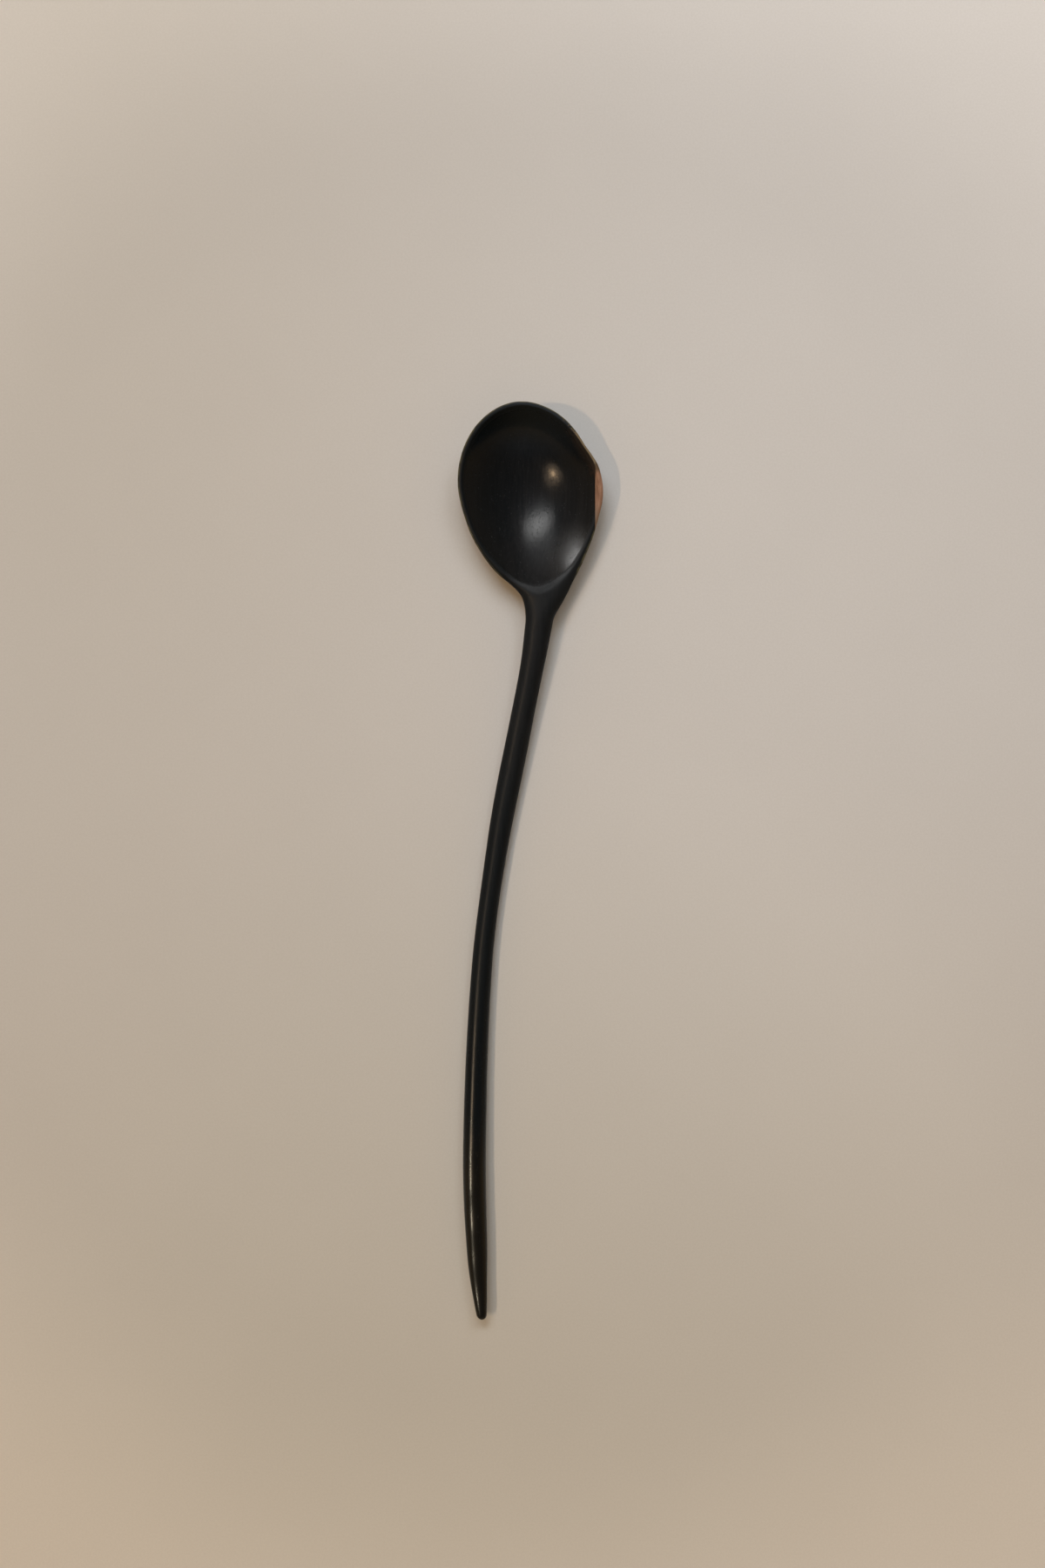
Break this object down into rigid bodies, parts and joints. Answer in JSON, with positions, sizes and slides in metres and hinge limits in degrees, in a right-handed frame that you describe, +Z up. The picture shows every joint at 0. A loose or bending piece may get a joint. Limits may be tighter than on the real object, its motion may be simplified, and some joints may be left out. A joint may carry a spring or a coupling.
{
  "type": "wooden spoon",
  "caption": "Hand-carved wooden eating spoon with an egg-shaped bowl, a slim round handle that bends gently to one side, and a sliver of paler wood at the bowl's right-hand rim.",
  "frame": {"origin": "middle of the small flat under the bowl on which the spoon rests", "axes": "+Y along the spoon's length towards the front of the bowl, +Z up out of the bowl's hollow, +X to the right seen from above with the bowl ahead"},
  "size_m": [0.0411, 0.2592, 0.0172],
  "materials": {
    "dark_wood": "oiled satin, near-black, fine open pores",
    "pale_wood": "oiled satin, orange-brown, straight grain"
  },
  "bodies": {
    "root": {"spoon_body": "dark_wood", "rim_strip": "pale_wood"}
  },
  "joints": []
}
